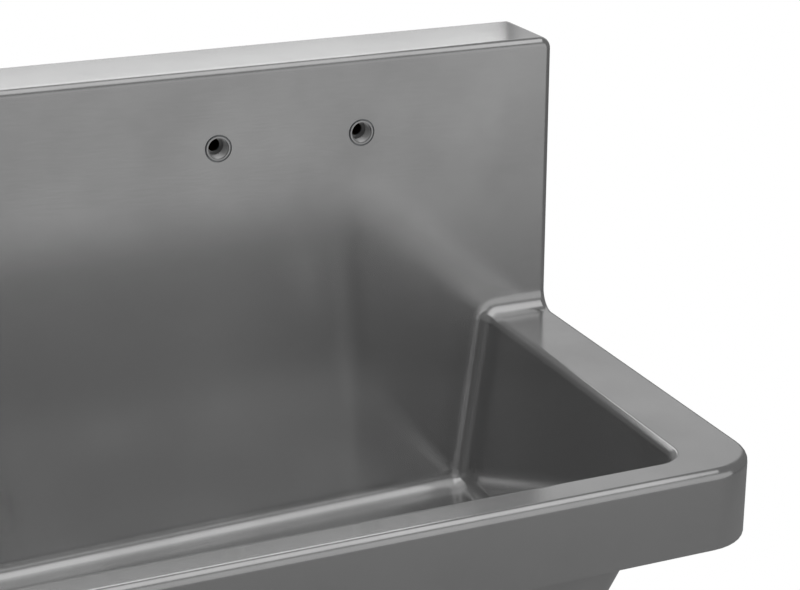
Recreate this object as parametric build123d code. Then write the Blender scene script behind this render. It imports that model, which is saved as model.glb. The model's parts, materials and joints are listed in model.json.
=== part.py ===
from build123d import *
import os
from math import atan, cos, degrees, hypot, radians

# Wall-hung wash trough for two users, folded and welded from satin stainless sheet.
# A bowl with raked front and ends hangs in a rolled rim. The rim turns down into an
# apron and sweeps up into a deep hollow splashback, which hides the water pipes.
# All lengths are millimetres. X runs along the trough, +Y points at the wall, +Z is up.
# The geometry is built with z = 0 on top of the rim and y = 0 on the wall, and each
# piece is then lowered so that the origin is the middle of the wall rail's screw row.

# Overall sizes
trough_length = 1200.0
bowl_reach = 435.0
splash_thickness = 88.0
splash_height = 292.0
apron_height = 78.0
sheet = 1.5

# Rim and bowl
front_rim = 39.5
side_rim = 70.0
bowl_depth = 190.0
floor_fall = 0.025
end_draft = 0.137
front_slope = 0.49
front_lip = 30.0
bowl_corner_radius = 20.0
front_bend_radius = 40.0
opening_roll_radius = 9.0
cove_radius = 18.0
outer_roll_radius = 8.5
plan_corner_radius = 53.0
splash_corner_radius = 12.0
weld_margin = 4.0
cut_margin = 1.0
apron_return = 16.0
rear_return = 20.0

# Water inlets
station_inset = 287.5
inlet_spacing = 150.0
inlet_height = 214.0
inlet_bore_radius = 9.3
inlet_thread_depth = 16.0
socket_radius = 12.4
socket_hole_clearance = 0.1
socket_proud = 0.5
socket_shoulder_radius = 17.0
socket_shoulder = 4.0
socket_body_radius = 14.0
socket_web = 3.0
spigot_length = 7.5
spigot_clearance = 0.1
backing_plate_size = (250.0, 60.0)
backing_plate_thickness = 3.0
backing_plate_radius = 10.0

# Pipes behind the splashback
tail_radius = 7.5
tail_wall = 1.0
tail_drop = 112.0
pipe_clearance = 0.1
elbow_radius = 11.0
elbow_bend = 12.0
elbow_stub = 6.0
elbow_socket_depth = 9.0
hex_collar = 27.0
hex_collar_width = 5.0
tail_nut_hex = 24.0
tail_nut_height = 13.0
connector_thread_radius = 10.4
connector_thread_length = 14.0
connector_hex = 24.0
connector_hex_height = 10.0
clip_height = 12.0
clip_wall = 2.4
clip_base = 4.0
clip_mouth = 11.0
clip_screw_radius = 2.0
clip_screw_head_radius = 3.6
clip_screw_length = 6.0
fastener_clearance = 0.05

# Wall fixings
rail_row_height = 218.0
rail_thickness = 3.0
rail_length = 1100.0
rail_hole_spacing = 300.0
rail_hole_count = 4
rail_hole_radius = 4.5
rail_foot = 13.0
rail_rise = 38.0
rail_lip = 20.0
rail_gap = 6.0
rail_clearance = 0.5
hanger_length = 1150.0
hanger_step = 9.5
hanger_flange = 30.0
hanger_drop_lip = 16.0
driver_hole_radius = 9.0
channel_top = -30.0
channel_height = 40.0
channel_thickness = 2.0
strut_width = 40.0
strut_top = 200.0
bracket_thickness = 3.0
bracket_width = 33.0
bracket_inset = 22.0
bracket_depth = 190.0
bracket_nose = 26.0
bracket_heel = 30.0
bracket_reach = 480.0
bracket_hole_radius = 5.5
bracket_hole_spacing = 120.0
bracket_first_hole = 45.0
bracket_hole_shares = (0.22, 0.5, 0.75)
bracket_hole_share = 0.24
flange_corner_radius = 8.0
bend_radius = 2.0
stud_radius = 3.0
stud_length = 18.0
stud_clearance = 0.3
stud_places = (150.0, 430.0)
nut_hex = 10.0
nut_height = 5.0

# Waste outlet
recess_radius = 44.0
recess_depth = 4.5
recess_fillet = 2.5
waste_hole_radius = 25.0
waste_tube_radius = 23.9
waste_bore_radius = 20.0
waste_flange_radius = 40.5
waste_flange_thickness = 2.5
waste_length = 62.0
waste_groove_depth = 1.0
waste_groove_width = 2.0
waste_free_thread = 30.0
waste_seal_thickness = 1.5
strainer_radius = 30.0
strainer_thickness = 1.5
strainer_clearance = 0.3
strainer_hole_radius = 2.6
strainer_ring_radii = (10.0, 17.5, 25.0)
strainer_ring_counts = (6, 12, 18)
bridge_width = 9.0
bridge_thickness = 4.0
bridge_drop = 12.0
screw_radius = 3.0
screw_head_radius = 5.5
screw_head_height = 2.5
lower_seal_thickness = 3.0
washer_thickness = 2.0
washer_radius = 37.0
backnut_hex = 62.0
backnut_height = 10.0
thread_clearance = 0.3

# Under the bowl
pad_length = 340.0
pad_width = 170.0
pad_thickness = 4.0
pad_offset = 260.0
pad_radius = 12.0
tag_width = 20.0
tag_length = 28.0
tag_thickness = 2.0
tag_hole_radius = 2.7
tag_offset = 60.0
tag_overlap = 12.0
earth_bolt_radius = 2.5
earth_bolt_length = 16.0
earth_bolt_hex = 8.0
earth_bolt_head = 3.5

# Places worked out from the sizes above
half_length = trough_length / 2
front_y = -(splash_thickness + bowl_reach)
splash_y = -splash_thickness
lip_y = front_y + front_rim
opening_x = half_length - side_rim
weld_z = cove_radius + weld_margin
floor_end_x = opening_x - end_draft * bowl_depth
floor_mid_z = -(bowl_depth + floor_fall * floor_end_x)
floor_front_y = lip_y + front_slope * (-floor_mid_z - front_lip)
waste_y = (splash_y + floor_front_y) / 2
build_depth = bowl_depth * 2 + apron_height
inlet_sides = {"left": -1, "right": 1}
inlet_waters = {"hot": -1, "cold": 1}
plate_back_y = splash_y + sheet + backing_plate_thickness
socket_back_y = splash_y + inlet_thread_depth + socket_web + spigot_length
tail_y = socket_back_y + hex_collar_width + elbow_stub + elbow_bend
elbow_mouth_z = inlet_height - elbow_bend - elbow_stub - elbow_socket_depth
tail_top_z = elbow_mouth_z + elbow_socket_depth - pipe_clearance
channel_y = tail_y + tail_radius + clip_base
channel_bottom = channel_top - channel_height
channel_mid = channel_top - channel_height / 2
bracket_x = half_length - bracket_inset - bracket_width
fixing_x = bracket_x + (bracket_width + bracket_thickness) / 2
bracket_bolt_heights = [-bracket_first_hole, -bracket_first_hole - bracket_hole_spacing]
rail_top_z = rail_row_height + rail_rise
rail_step_z = rail_top_z - rail_lip
strainer_top = waste_seal_thickness + waste_flange_thickness
seal_stack_z = -sheet - lower_seal_thickness
tag_foot = channel_bottom + tag_overlap - tag_length


def save(node, shape):
    """Write one node's STEP file, with the origin at the wall rail's screw row."""
    export_step(Pos(0, 0, -rail_row_height) * shape, f"parts/{node}.step")


def shifted(start, end, gap):
    """Move the line from start to end by gap to the right of its direction."""
    run, rise = end[0] - start[0], end[1] - start[1]
    length = hypot(run, rise)
    move = (rise / length * gap, -run / length * gap)
    return (start[0] + move[0], start[1] + move[1]), (end[0] + move[0], end[1] + move[1])


def crossing(first, second):
    """Give the point where two lines, each a pair of points, cross."""
    (x1, y1), (x2, y2) = first
    (x3, y3), (x4, y4) = second
    turn = (x1 - x2) * (y3 - y4) - (y1 - y2) * (x3 - x4)
    one, two = x1 * y2 - y1 * x2, x3 * y4 - y3 * x4
    return (one * (x3 - x4) - (x1 - x2) * two) / turn, (one * (y3 - y4) - (y1 - y2) * two) / turn


def grown(points, gap):
    """Grow a closed anticlockwise outline by gap, with its corners kept sharp."""
    count = len(points)
    lines = [shifted(points[i], points[(i + 1) % count], gap) for i in range(count)]
    return [crossing(lines[i - 1], lines[i]) for i in range(count)]


def nearest_edges(shape, places):
    """Give the edge of the shape that lies nearest to each place."""
    return [min(shape.edges(), key=lambda edge: edge.distance_to(Vector(*place))) for place in places]


def block(low, high):
    """Make a box from its lowest and highest corners."""
    size = [high[i] - low[i] for i in range(3)]
    middle = [(high[i] + low[i]) / 2 for i in range(3)]
    return Pos(*middle) * Box(*size)


def both_sides(shape):
    """Join a piece's right half to its mirror image."""
    return shape + mirror(shape, about=Plane.YZ)


def folded_strip(points, thickness, length, side, inner_radius=bend_radius):
    """Fold a strip, of constant inner bend radius, through (y, z) points, and run it along X."""
    radii = []
    for before, corner, after in zip(points, points[1:], points[2:]):
        run = (corner[0] - before[0], corner[1] - before[1])
        turn = run[0] * (after[1] - corner[1]) - run[1] * (after[0] - corner[0])
        inward = (turn > 0) == (side == Side.RIGHT)
        radii.append(inner_radius + (thickness if inward else 0))
    path = FilletPolyline(*[(0, y, z) for y, z in points], radius=radii)
    outline = offset(path, amount=thickness, side=side)
    return Pos(-length / 2, 0, 0) * extrude(make_face(outline), amount=length, dir=(1, 0, 0))


def hexagon(across_flats, height):
    """Make a hexagonal prism upwards from z = 0."""
    corner_radius = across_flats / 2 / cos(radians(30))
    return extrude(RegularPolygon(corner_radius, 6), height)


def tube(outer, inner, low, high):
    """Make a straight tube about Z between two heights."""
    return Pos(0, 0, low) * extrude(Circle(outer) - Circle(inner), high - low)


# Sheet metal: bowl, rim and splashback
def plan_outline(inset):
    """Outline of the rim's right half, inset from the outer faces."""
    end_x = half_length - inset
    corners = [(0, front_y + inset), (end_x, front_y + inset), (end_x, -sheet), (0, -sheet)]
    face = make_face(Polyline(*corners, close=True))
    corner = face.vertices().sort_by_distance((*corners[1], 0))[0]
    return fillet(corner, plan_corner_radius - inset)


def bowl_space(gap):
    """Space inside the bowl, grown by gap, where an end profile and a long profile cross."""
    above, below = cove_radius * 3, -bowl_depth * 1.6
    foot_y = lip_y + front_slope * (-below - front_lip)
    across = [(splash_y, above), (lip_y, above), (lip_y, -front_lip), (foot_y, below), (splash_y, below)]
    across = grown(across, gap)
    side = make_face(Polyline(*[(0, y, z) for y, z in across], close=True))
    bend = side.vertices().sort_by_distance((0, *across[2]))[0]
    side = fillet(bend, front_bend_radius + gap)
    past = side_rim
    along = [(-past, above), (-past, floor_mid_z - floor_fall * past)]
    along += [(floor_end_x, -bowl_depth), (opening_x + end_draft * above, above)]
    front = make_face(Polyline(*[(x, 0, z) for x, z in grown(along, gap)], close=True))
    long_space = extrude(side, amount=half_length, dir=(1, 0, 0))
    return long_space & extrude(front, amount=-2 * front_y, dir=(0, -1, 0))


def outer_form(gap):
    """Right half of the trough as one solid, shrunk by gap, with every bend rounded."""
    end_x, front, back = half_length - gap, front_y + gap, splash_y + gap
    top, rim = splash_height - gap, -gap
    deck = block((0, front, -build_depth), (end_x, -gap, rim))
    deck = fillet(nearest_edges(deck, [(end_x, front, -apron_height)]), plan_corner_radius - gap)
    splash = block((0, back, -build_depth), (end_x, -gap, top))
    splash = fillet(nearest_edges(splash, [(end_x, -sheet * 2, top)]), splash_corner_radius - gap)
    form = deck + splash - bowl_space(gap)
    form = form & block((0, front - cut_margin, -build_depth), (half_length, 0, top + cut_margin))

    def end_wall(z):
        return opening_x + end_draft * z + gap * hypot(1, end_draft)

    def front_wall(z):
        return lip_y - front_slope * (z + front_lip) - gap * hypot(1, front_slope)

    # Upright corners at the front of the bowl: lip, bend and raked wall
    low = -bowl_depth * 0.6
    bend_z = -front_lip - front_slope * front_bend_radius / 4
    high = -gap - cut_margin
    places = [(end_wall(high), lip_y - gap, high), (end_wall(bend_z), front_wall(bend_z), bend_z)]
    places.append((end_wall(low), front_wall(low), low))
    form = fillet(nearest_edges(form, places), bowl_corner_radius + gap)

    # Roll of the rim into the bowl, along the front, round the corner and down the end
    curve = bowl_corner_radius * (1 - cos(radians(45)))
    side_x, mid_y = end_wall(rim), (lip_y + splash_y) / 2
    places = [(opening_x / 2, lip_y - gap, rim), (side_x, mid_y, rim)]
    places.append((side_x - curve, lip_y - gap + curve, rim))
    form = fillet(nearest_edges(form, places), opening_roll_radius - gap)

    # Coves: rim to splashback, down the back corner, and all round the bowl floor
    def on_back(point):
        return abs(point.Y - back) < 0.001 and point.X < end_x - 0.001

    def on_floor(point):
        return abs(point.Z - (floor_mid_z + floor_fall * point.X - gap * hypot(1, floor_fall))) < 0.001

    coves = []
    for edge in form.edges():
        points = [edge @ 0, edge @ 0.5, edge @ 1]
        middle = points[1]
        if middle.X < 0.001:
            continue
        whole_back = all(abs(point.Y - back) < 0.001 for point in points)
        whole_floor = all(on_floor(point) for point in points)
        in_reach = cut_margin - build_depth < middle.Z < cove_radius
        if whole_floor or (whole_back and on_back(middle) and in_reach):
            coves.append(edge)
    form = fillet(coves, cove_radius + gap)

    # Outer roll, from the front rim round the side and up the edge of the splashback
    turn = 1 - cos(radians(45))
    plan, corner, cove = plan_corner_radius - gap, splash_corner_radius - gap, cove_radius + gap
    places = [(half_length / 2, front, rim), (end_x - plan * turn, front + plan * turn, rim)]
    places += [(end_x, mid_y, rim), (end_x, back - cove * turn, rim + cove * turn)]
    places += [(end_x, back, splash_height / 2), (end_x - corner * turn, back, top - corner * turn)]
    places.append((half_length / 2, back, top))
    return fillet(nearest_edges(form, places), outer_roll_radius - gap)


def make_skins():
    """Split the welded skin into bowl, rim with apron, and splashback."""
    skin = outer_form(0) - outer_form(sheet)
    window_x = half_length - rear_return
    low = -build_depth - cut_margin
    skin -= block((0, -sheet - cut_margin, low), (window_x, cut_margin, splash_height - rear_return))
    far = trough_length

    mouth_x, mouth_y = opening_x + opening_roll_radius, lip_y - opening_roll_radius
    mouth = block((0, mouth_y, -far), (mouth_x, splash_y + sheet * 2, weld_z))
    seam_radius = bowl_corner_radius + opening_roll_radius
    mouth = fillet(nearest_edges(mouth, [(mouth_x, mouth_y, -far / 2)]), seam_radius)

    bowl = skin & mouth
    deck = block((0, front_y - cut_margin, -apron_height), (half_length, 0, weld_z))
    rim = (skin & deck) - mouth
    foot = extrude(plan_outline(sheet) - plan_outline(apron_return), sheet)
    rim += Pos(0, 0, -apron_height) * foot
    upper = block((0, splash_y - cut_margin, weld_z), (half_length, 0, splash_height + cut_margin))
    splash = skin & upper
    return both_sides(bowl), both_sides(rim), both_sides(splash)


def recess_disc(radius, low):
    """Upright disc on the waste's axis, from low up into the bowl."""
    return Pos(0, waste_y, low) * extrude(Circle(radius), recess_depth * 2)


def add_waste_recess(bowl):
    """Press a flat round recess with a hole into the lowest point of the floor."""
    low = floor_mid_z - recess_depth
    space = recess_disc(recess_radius, low)
    space = fillet(space.edges().group_by(Axis.Z)[0], recess_fillet)
    cup = recess_disc(recess_radius + sheet, low - sheet)
    cup = fillet(cup.edges().group_by(Axis.Z)[0], recess_fillet + sheet)
    cup = cup & bowl_below(sheet * 2)
    bowl = bowl + cup - space
    return bowl - recess_disc(waste_hole_radius, low - sheet * 2)


def bowl_below(margin):
    """Everything under the floor's inner faces, out to the recess."""
    reach = recess_radius + margin
    drop = floor_mid_z - recess_depth * 3
    peak = floor_mid_z + floor_fall * reach
    outline = [(-reach, 0, drop), (reach, 0, drop), (reach, 0, peak)]
    outline += [(0, 0, floor_mid_z), (-reach, 0, peak)]
    under = extrude(make_face(Polyline(*outline, close=True)), amount=2 * reach, dir=(0, 1, 0))
    return Pos(0, waste_y - reach, 0) * under


def inlet_places():
    """Name, x and water of each inlet: a hot and a cold one for each user."""
    for side, sign in inlet_sides.items():
        centre = sign * (half_length - station_inset)
        for water, step in inlet_waters.items():
            yield f"{water}_{side}", centre + step * inlet_spacing / 2


def drill_inlets(splash):
    """Cut the socket holes through the splashback's face."""
    for _, x in inlet_places():
        hole = Cylinder(socket_radius + socket_hole_clearance, splash_thickness / 2, rotation=(90, 0, 0))
        splash -= Pos(x, splash_y, inlet_height) * hole
    return splash


# Water inlets and pipes
def turned(profile):
    """Turn an outline of (radius, y) points about the Y axis."""
    face = make_face(Polyline(*[(radius, y, 0) for radius, y in profile], close=True))
    return revolve(face, axis=Axis.Y)


def make_socket():
    """Threaded socket: a collar flush with the splashback, a shoulder and a body behind."""
    face = splash_y - socket_proud
    thread_end = splash_y + inlet_thread_depth
    web_end = thread_end + socket_web
    shoulder_end = plate_back_y + socket_shoulder
    chamfer = socket_proud
    outline = [(inlet_bore_radius + chamfer, face), (socket_radius - chamfer, face)]
    outline.append((socket_radius, splash_y))
    outline += [(socket_radius, plate_back_y), (socket_shoulder_radius, plate_back_y)]
    outline += [(socket_shoulder_radius, shoulder_end), (socket_body_radius, shoulder_end)]
    outline += [(socket_body_radius, socket_back_y), (inlet_bore_radius, socket_back_y)]
    outline += [(inlet_bore_radius, web_end), (tail_radius - tail_wall, web_end)]
    outline += [(tail_radius - tail_wall, thread_end), (inlet_bore_radius, thread_end)]
    outline.append((inlet_bore_radius, splash_y))
    return Pos(0, 0, inlet_height) * turned(outline)


def make_elbow():
    """Elbow from the socket down to the pipe, with a hexagonal collar and a spigot."""
    bore = tail_radius - tail_wall
    collar_end = socket_back_y + hex_collar_width
    bend_y = collar_end + elbow_stub
    drop_top = inlet_height - elbow_bend
    facing = Rot(-90, 0, 0)
    axis = Pos(0, 0, inlet_height) * facing

    def piece(radius):
        stub = axis * Pos(0, 0, collar_end) * extrude(Circle(radius), elbow_stub)
        ring = axis * Pos(0, 0, bend_y) * Circle(radius)
        pivot = Axis((0, bend_y, drop_top), (-1, 0, 0))
        bend = revolve(ring, axis=pivot, revolution_arc=90)
        drop = Pos(0, tail_y, elbow_mouth_z) * extrude(Circle(radius), drop_top - elbow_mouth_z)
        return stub + bend + drop

    collar = axis * Pos(0, 0, socket_back_y) * hexagon(hex_collar, hex_collar_width)
    start = socket_back_y - spigot_length + spigot_clearance
    run = collar_end - start
    spigot = axis * Pos(0, 0, start) * extrude(Circle(inlet_bore_radius - spigot_clearance), run)
    way_in = axis * Pos(0, 0, start) * extrude(Circle(bore), run)
    mouth = extrude(Circle(tail_radius + pipe_clearance), elbow_socket_depth)
    mouth = Pos(0, tail_y, elbow_mouth_z) * mouth
    return piece(elbow_radius) + collar + spigot - piece(bore) - way_in - mouth


def make_tail():
    """Straight pipe from the elbow down below the apron."""
    return Pos(0, tail_y, 0) * tube(tail_radius, tail_radius - tail_wall, -tail_drop, tail_top_z)


def make_tail_nut():
    """Compression nut under the elbow."""
    low = elbow_mouth_z - tail_nut_height
    nut = hexagon(tail_nut_hex, tail_nut_height)
    nut -= Cylinder(tail_radius + pipe_clearance, 3 * tail_nut_height)
    nut = chamfer(nut.edges().filter_by(GeomType.CIRCLE).group_by(Axis.Z)[0], tail_wall / 2)
    return Pos(0, tail_y, low) * nut


def make_connector():
    """Male threaded end of the pipe, where the building's supply is joined."""
    top = -tail_drop + connector_hex_height
    low = -tail_drop - connector_thread_length
    body = Pos(0, 0, top - connector_hex_height) * hexagon(connector_hex, connector_hex_height)
    body += tube(connector_thread_radius, tail_radius - tail_wall, low, -tail_drop)
    body -= Pos(0, 0, -tail_drop) * extrude(Circle(tail_radius + pipe_clearance), connector_hex_height)
    body -= Cylinder(tail_radius - tail_wall, trough_length)
    return Pos(0, tail_y, 0) * body


def make_clip():
    """Open pipe clip, pushed over the pipe and screwed to the rear channel."""
    inner = tail_radius + pipe_clearance
    outer = inner + clip_wall
    ring = Circle(outer)
    foot = Pos(0, (channel_y - tail_y) / 2) * Rectangle(outer * 1.6, channel_y - tail_y)
    mouth = Pos(0, -outer) * Rectangle(clip_mouth, outer * 2)
    outline = ring + foot - Circle(inner) - mouth
    clip = Pos(0, tail_y, channel_mid - clip_height / 2) * extrude(outline, clip_height)
    return clip - make_clip_screw(fastener_clearance)


def make_clip_screw(clearance=0.0):
    """Countersunk screw that holds a clip to the channel, its head under the pipe."""
    head_y = tail_y + tail_radius + pipe_clearance
    depth = clip_screw_head_radius - clip_screw_radius
    end = channel_y + clip_screw_length - head_y
    radius = clip_screw_radius + clearance
    outline = [(0, 0), (clip_screw_head_radius + clearance, 0), (radius, depth), (radius, end), (0, end)]
    screw = revolve(make_face(Polyline(*[(r, y, 0) for r, y in outline], close=True)), axis=Axis.Y)
    return Pos(0, head_y, channel_mid) * screw


def make_backing_plate():
    """Plate behind the splashback's face that stiffens it round a pair of inlets."""
    plate = extrude(RectangleRounded(*backing_plate_size, backing_plate_radius), backing_plate_thickness)
    for step in inlet_waters.values():
        hole = Cylinder(socket_radius + socket_hole_clearance, backing_plate_thickness * 3)
        plate -= Pos(step * inlet_spacing / 2, 0, 0) * hole
    return Pos(0, plate_back_y, inlet_height) * Rot(90, 0, 0) * plate


# Wall fixings
def hole_row(count, spacing):
    """Places of a row of holes, centred on zero."""
    return [(i - (count - 1) / 2) * spacing for i in range(count)]


def drill_along_y(shape, places, radius, start, end):
    """Cut round holes along Y, from start to end, at each (x, z) place."""
    for x, z in places:
        shape -= Pos(x, start, z) * Rot(-90, 0, 0) * extrude(Circle(radius), end - start)
    return shape


def make_wall_rail():
    """Rail screwed to the wall, with a step and a lip that the trough hooks over."""
    points = [(0, rail_row_height - rail_foot), (0, rail_step_z)]
    points += [(-rail_gap, rail_step_z), (-rail_gap, rail_top_z)]
    strip = folded_strip(points, rail_thickness, rail_length, Side.RIGHT)
    places = [(x, rail_row_height) for x in hole_row(rail_hole_count, rail_hole_spacing)]
    return drill_along_y(strip, places, rail_hole_radius, -rail_thickness * 2, rail_thickness)


def make_hanging_rail():
    """Rail welded under the splashback's top, with a lip that drops behind the wall rail."""
    lip_front = rail_clearance - rail_gap
    web_y = lip_front - hanger_step
    top = splash_height - sheet - rail_thickness
    points = [(lip_front, rail_top_z - hanger_drop_lip), (lip_front, rail_top_z), (web_y, rail_top_z)]
    points += [(web_y, top), (web_y - hanger_flange, top)]
    return folded_strip(points, rail_thickness, hanger_length, Side.LEFT, rail_clearance)


def make_rear_channel():
    """Channel between the brackets: wall screws behind, pipe clips in front."""
    points = [(0, channel_bottom), (0, channel_top), (channel_y, channel_top), (channel_y, channel_bottom)]
    channel = folded_strip(points, channel_thickness, 2 * bracket_x, Side.RIGHT)
    row = [(x, channel_mid) for x in hole_row(rail_hole_count, rail_hole_spacing)]
    channel = drill_along_y(channel, row, rail_hole_radius, channel_y / 2, channel_thickness)
    channel = drill_along_y(channel, row, driver_hole_radius, channel_y - channel_thickness, channel_y / 2)
    screws = [(x, channel_mid) for _, x in inlet_places()]
    radius = clip_screw_radius + fastener_clearance
    return drill_along_y(channel, screws, radius, channel_y - cut_margin, channel_y / 2)


def make_strut():
    """Upright stiffener that backs the middle of the splashback against the wall."""
    half, front, wall = strut_width / 2, splash_y + sheet, channel_thickness
    strut = block((-half, front, channel_top), (half, 0, strut_top))
    strut = fillet(nearest_edges(strut, [(-half, front, 0), (-half, 0, 0)]), bend_radius + wall)
    inner = wall - half
    low, high = channel_top - cut_margin, strut_top + cut_margin
    hollow = block((inner, front + wall, low), (half + cut_margin, -wall, high))
    hollow = fillet(nearest_edges(hollow, [(inner, front + wall, 0), (inner, -wall, 0)]), bend_radius)
    return strut - hollow


def web_foot(y):
    """Height of the bracket's raked lower edge at y."""
    heel_y = -bracket_heel
    share = (y - heel_y) / (-bracket_reach - heel_y)
    return -bracket_depth + share * (bracket_depth - bracket_nose)


def make_bracket():
    """Right-hand gallows bracket: a raked web with a flange on the wall and one under the rim."""
    wall, top, far = bracket_thickness, -sheet, bracket_x + bracket_width
    outline = [(0, top), (-bracket_reach, top), (-bracket_reach, -bracket_nose)]
    outline += [(-bracket_heel, -bracket_depth), (0, -bracket_depth)]
    web = make_face(Polyline(*[(bracket_x, y, z) for y, z in outline], close=True))
    bracket = extrude(web, amount=wall, dir=(1, 0, 0))
    bracket += block((bracket_x, -bracket_reach, top - wall), (far, 0, top))
    bracket += block((bracket_x, -wall, -bracket_depth), (far, 0, top))
    for share in bracket_hole_shares:
        y = -bracket_reach * share
        foot = web_foot(y)
        place = Pos(bracket_x + wall / 2, y, (top + foot) / 2)
        bracket -= place * Cylinder((top - foot) * bracket_hole_share, wall * 3, rotation=(0, 90, 0))
    bolts = [(fixing_x, z) for z in bracket_bolt_heights]
    bracket = drill_along_y(bracket, bolts, bracket_hole_radius, -wall * 2, wall)
    for y in stud_places:
        bracket -= Pos(fixing_x, -y, top) * Cylinder(stud_radius + stud_clearance, wall * 4)
    corners = [(far, -bracket_reach, top - wall / 2), (far, -wall / 2, -bracket_depth)]
    return fillet(nearest_edges(bracket, corners), flange_corner_radius)


def at_studs(shape):
    """One copy of a piece at each stud under the rim, left and right."""
    places = [Pos(sign * fixing_x, -y, 0) for sign in inlet_sides.values() for y in stud_places]
    return Compound([place * shape for place in places])


def make_stud():
    """Threaded stud, welded to the underside of the rim."""
    return Pos(0, 0, -sheet - stud_length) * extrude(Circle(stud_radius), stud_length)


def make_stud_nut():
    """Hexagonal nut that clamps the bracket's flange to the rim."""
    nut = hexagon(nut_hex, nut_height) - Cylinder(stud_radius + fastener_clearance, nut_height * 3)
    return Pos(0, 0, -sheet - bracket_thickness - nut_height) * nut


# Waste outlet, built about its own axis with z = 0 on the bottom of the recess
def make_waste_body():
    """Flanged waste: a seat for the strainer, a cross bar for its screw and a threaded tube."""
    low = waste_seal_thickness
    top = low + waste_flange_thickness
    body = tube(waste_flange_radius, waste_bore_radius, low, top)
    body = fillet(body.edges().group_by(Axis.Z)[-1].sort_by(SortBy.RADIUS)[-1], waste_flange_thickness / 3)
    body += tube(waste_tube_radius, waste_bore_radius, -waste_length, low)
    seat = extrude(Circle(strainer_radius + strainer_clearance), strainer_thickness * 4)
    body -= Pos(0, 0, top - strainer_thickness) * seat
    groove = tube(waste_tube_radius * 2, waste_tube_radius - waste_groove_depth, 0, waste_groove_width)
    body -= Pos(0, 0, waste_free_thread - waste_length) * groove
    bar = Rectangle(2 * waste_bore_radius + sheet, bridge_width) - Circle(screw_radius + fastener_clearance)
    return body + Pos(0, 0, -bridge_drop - bridge_thickness) * extrude(bar, bridge_thickness)


def make_strainer():
    """Flat strainer plate with rings of round holes."""
    plate = Circle(strainer_radius) - Circle(screw_radius + strainer_clearance)
    for ring, count in zip(strainer_ring_radii, strainer_ring_counts):
        plate -= PolarLocations(ring, count) * Circle(strainer_hole_radius)
    return Pos(0, 0, strainer_top - strainer_thickness) * extrude(plate, strainer_thickness)


def make_strainer_screw():
    """Domed screw through the strainer into the cross bar."""
    end = -bridge_drop - bridge_thickness - screw_radius
    head = extrude(Circle(screw_head_radius), screw_head_height)
    head = fillet(head.edges().group_by(Axis.Z)[-1], screw_head_height * 0.7)
    slot = Rectangle(screw_head_radius * 3, screw_head_height / 3)
    head -= Pos(0, 0, screw_head_height * 0.55) * extrude(slot, screw_head_height)
    shank = Pos(0, 0, end) * extrude(Circle(screw_radius), strainer_top - end)
    return Pos(0, 0, strainer_top) * head + shank


def make_backnut():
    """Hexagonal nut that pulls the waste down on its seals."""
    low = seal_stack_z - washer_thickness - backnut_height
    nut = hexagon(backnut_hex, backnut_height)
    nut -= Cylinder(waste_tube_radius + thread_clearance, backnut_height * 3)
    return Pos(0, 0, low) * nut


def at_waste(shape):
    """Put a piece of the waste at the bottom of the bowl's recess."""
    return Pos(0, waste_y, floor_mid_z - recess_depth) * shape


# Under the bowl
def make_pad():
    """Right-hand damping pad, glued flat under the sloping floor."""
    under = floor_mid_z + floor_fall * pad_offset - sheet * hypot(1, floor_fall)
    slope = Rot(0, -degrees(atan(floor_fall)), 0)
    pad = extrude(RectangleRounded(pad_length, pad_width, pad_radius), -pad_thickness)
    return Pos(pad_offset, waste_y, under) * slope * pad


def make_earth_tag():
    """Tab behind the rear channel's front flange, for the earth wire."""
    back = channel_y + channel_thickness
    half = tag_width / 2
    front = back + tag_thickness
    tag = block((tag_offset - half, back, tag_foot), (tag_offset + half, front, tag_foot + tag_length))
    tag = fillet(tag.edges().filter_by(Axis.Y).group_by(Axis.Z)[0], half * 0.6)
    place = (tag_offset, tag_foot + half)
    return drill_along_y(tag, [place], tag_hole_radius, back - cut_margin, front + cut_margin)


def make_earth_bolt():
    """Hexagon-head bolt with its nut, through the earth tag."""
    face = channel_y + channel_thickness
    facing = Rot(-90, 0, 0)
    axis = Pos(tag_offset, face, tag_foot + tag_width / 2) * facing
    bolt = axis * (Pos(0, 0, -earth_bolt_head) * hexagon(earth_bolt_hex, earth_bolt_head))
    bolt += axis * extrude(Circle(earth_bolt_radius), earth_bolt_length)
    nut = hexagon(earth_bolt_hex, earth_bolt_head)
    nut -= Cylinder(earth_bolt_radius + fastener_clearance, earth_bolt_head * 3)
    return Compound([bolt, axis * (Pos(0, 0, tag_thickness) * nut)])


# Write every piece
bowl, rim, splash = make_skins()
save("bowl", add_waste_recess(bowl))
save("rim_deck", rim)
save("splashback_skin", drill_inlets(splash))
save("centre_strut", make_strut())
save("hanging_rail", make_hanging_rail())
save("wall_rail", make_wall_rail())
save("rear_channel", make_rear_channel())

bracket = make_bracket()
plate = make_backing_plate()
pad = make_pad()
for side, sign in inlet_sides.items():
    save(f"gallows_bracket_{side}", bracket if sign > 0 else mirror(bracket, about=Plane.YZ))
    save(f"damping_pad_{side}", pad if sign > 0 else mirror(pad, about=Plane.YZ))
    save(f"backing_plate_{side}", Pos(sign * (half_length - station_inset), 0, 0) * plate)
save("bracket_studs", at_studs(make_stud()))
save("bracket_nuts", at_studs(make_stud_nut()))

inlet_pieces = {
    "inlet_socket": make_socket(),
    "inlet_elbow": make_elbow(),
    "supply_tail": make_tail(),
    "supply_connector": make_connector(),
}
for name, x in inlet_places():
    for piece, shape in inlet_pieces.items():
        save(f"{piece}_{name}", Pos(x, 0, 0) * shape)
inlet_fittings = {"tail_nuts": make_tail_nut(), "pipe_clips": make_clip(), "clip_screws": make_clip_screw()}
for node, shape in inlet_fittings.items():
    save(node, Compound([Pos(x, 0, 0) * shape for _, x in inlet_places()]))

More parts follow.
